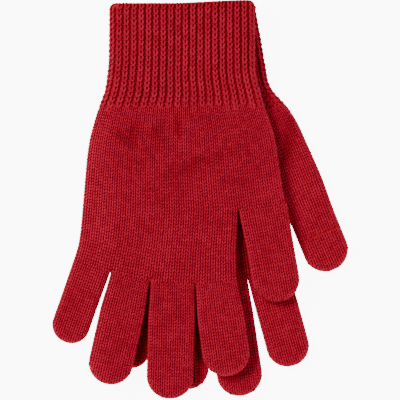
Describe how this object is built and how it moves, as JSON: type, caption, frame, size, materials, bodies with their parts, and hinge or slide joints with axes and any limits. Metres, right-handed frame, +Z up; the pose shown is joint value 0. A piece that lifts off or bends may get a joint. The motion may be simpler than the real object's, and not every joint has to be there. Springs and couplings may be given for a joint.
{
  "type": "touchscreen gloves",
  "caption": "Pair of red knitted touchscreen gloves with ribbed cuffs, lying flat one on the other; finger tubes curl or spread and the upper glove lifts off.",
  "frame": {"origin": "centre of the pair's outline in plan, at the surface it lies on", "axes": "+Z up out of the surface the gloves lie on, +Y toward the cuffs, -Y toward the fingertips, +X toward the thumbs"},
  "size_m": [0.1706, 0.2268, 0.0155],
  "materials": {
    "edge_knit": "matt, slightly fuzzy knitted yarn",
    "rib_knit": "matt, slightly fuzzy knitted yarn",
    "plain_knit": "matt, slightly fuzzy knitted yarn",
    "touch_knit": "matt, slightly fuzzy knitted yarn"
  },
  "bodies": {
    "upper_glove": {"upper_hem": "edge_knit", "upper_cuff": "rib_knit", "upper_hand": "plain_knit"},
    "upper_little": {"upper_little": "plain_knit"},
    "upper_ring": {"upper_ring": "plain_knit"},
    "upper_middle": {"upper_middle": "plain_knit"},
    "upper_index": {"upper_index": "plain_knit", "upper_index_tip": "touch_knit"},
    "upper_thumb": {"upper_thumb": "plain_knit", "upper_thumb_tip": "touch_knit"},
    "lower_glove": {"lower_hem": "edge_knit", "lower_cuff": "rib_knit", "lower_hand": "plain_knit"},
    "lower_little": {"lower_little": "plain_knit"},
    "lower_ring": {"lower_ring": "plain_knit"},
    "lower_middle": {"lower_middle": "plain_knit"},
    "lower_index": {"lower_index": "plain_knit", "lower_index_tip": "touch_knit"},
    "lower_thumb": {"lower_thumb": "plain_knit", "lower_thumb_tip": "touch_knit"}
  },
  "joints": [
    {"name": "lift_off", "type": "slide", "parent": "lower_glove", "child": "upper_glove", "axis": [0, 0, 1], "range_m": [0, 0.12]},
    {"name": "upper_little_curl", "type": "hinge", "parent": "upper_glove", "child": "upper_little", "pos_m": [-0.06225, -0.03643, 0.0155], "axis": [-0.9426, 0.3338, 0], "range_deg": [0, 70]},
    {"name": "upper_ring_curl", "type": "hinge", "parent": "upper_glove", "child": "upper_ring", "pos_m": [-0.04009, -0.04211, 0.0155], "axis": [-0.9755, 0.2198, 0], "range_deg": [0, 70]},
    {"name": "upper_middle_curl", "type": "hinge", "parent": "upper_glove", "child": "upper_middle", "pos_m": [-0.01579, -0.04554, 0.0155], "axis": [-0.9996, 0.0297, 0], "range_deg": [0, 70]},
    {"name": "upper_index_curl", "type": "hinge", "parent": "upper_glove", "child": "upper_index", "pos_m": [0.00918, -0.04515, 0.0155], "axis": [-0.9907, -0.1357, 0], "range_deg": [0, 70]},
    {"name": "upper_thumb_curl", "type": "hinge", "parent": "upper_glove", "child": "upper_thumb", "pos_m": [0.03601, -0.00223, 0.0155], "axis": [-0.9842, -0.1771, 0], "range_deg": [0, 70]},
    {"name": "lower_little_spread", "type": "hinge", "parent": "lower_glove", "child": "lower_little", "pos_m": [-0.04286, -0.04406, 0.0038], "axis": [0, 0, -1], "range_deg": [0, 14]},
    {"name": "lower_ring_spread", "type": "hinge", "parent": "lower_glove", "child": "lower_ring", "pos_m": [-0.02099, -0.04769, 0.0038], "axis": [0, 0, -1], "range_deg": [0, 5]},
    {"name": "lower_middle_spread", "type": "hinge", "parent": "lower_glove", "child": "lower_middle", "pos_m": [0.01512, -0.04609, 0.0038], "axis": [0, 0, 1], "range_deg": [-3, 3]},
    {"name": "lower_index_spread", "type": "hinge", "parent": "lower_glove", "child": "lower_index", "pos_m": [0.05121, -0.03802, 0.0038], "axis": [0, 0, 1], "range_deg": [0, 8]},
    {"name": "lower_thumb_spread", "type": "hinge", "parent": "lower_glove", "child": "lower_thumb", "pos_m": [0.06909, 0.0156, 0.0038], "axis": [0, 0, 1], "range_deg": [0, 14]}
  ]
}
